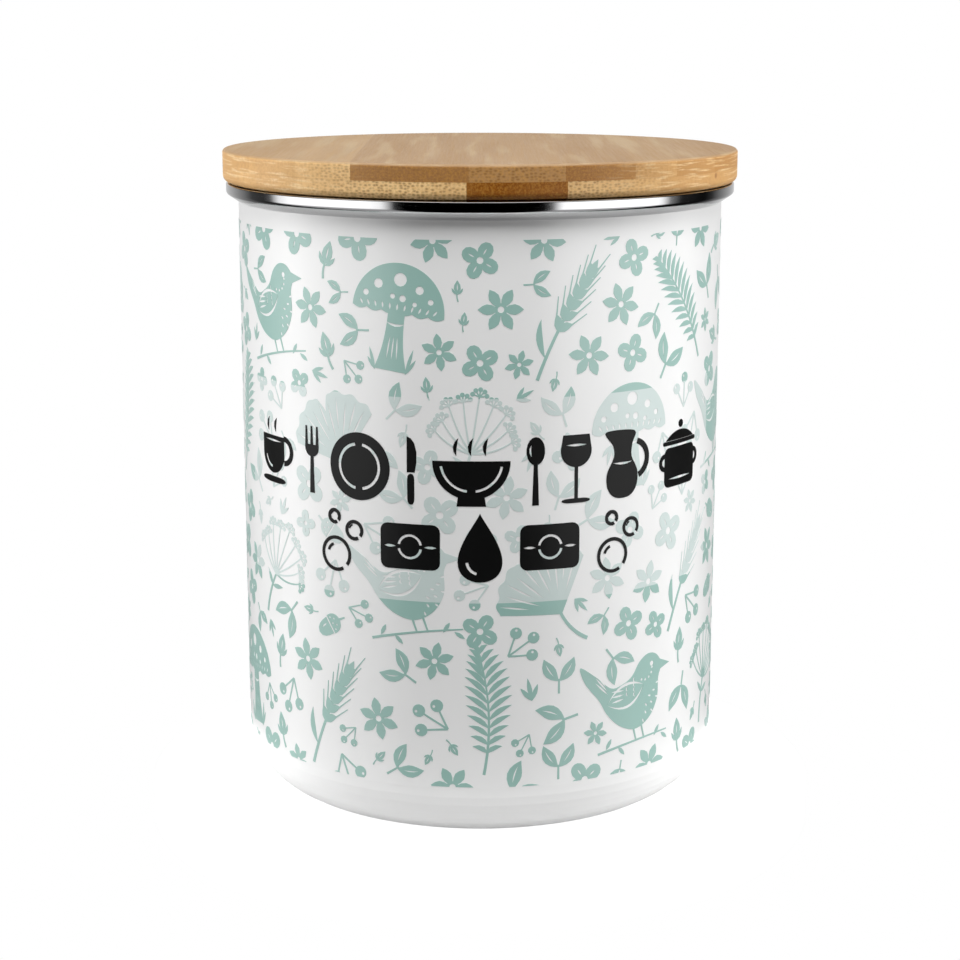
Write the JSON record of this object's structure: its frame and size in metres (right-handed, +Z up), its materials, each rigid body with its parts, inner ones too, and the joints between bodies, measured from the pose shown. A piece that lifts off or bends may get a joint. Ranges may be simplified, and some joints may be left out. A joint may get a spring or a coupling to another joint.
{
  "type": "dishwasher tablet tin",
  "caption": "Round enamelled steel storage tin with a stainless rim band, a printed leaf pattern and a lift-off bamboo lid with a silicone seal.",
  "frame": {"origin": "middle of the ring that the tin stands on", "axes": "+Z up along the tin's axis, front of the print towards -Y"},
  "size_m": [0.1274, 0.1274, 0.161],
  "materials": {
    "enamel": "glossy white enamel on steel",
    "stainless": "polished stainless steel",
    "bamboo": "oiled laminated bamboo",
    "silicone": "translucent white silicone",
    "teal_ink": "fired teal print under gloss",
    "pale_ink": "fired pale teal print under gloss"
  },
  "bodies": {
    "can": {"canister_body": "enamel", "rim_band": "stainless", "teal_print": "teal_ink", "pale_print": "pale_ink"},
    "lid": {"bamboo_lid": "bamboo", "lid_seal": "silicone"}
  },
  "joints": [
    {"name": "lid_lift", "type": "slide", "parent": "can", "child": "lid", "axis": [0, 0, 1], "range_m": [0, 0.08]}
  ]
}
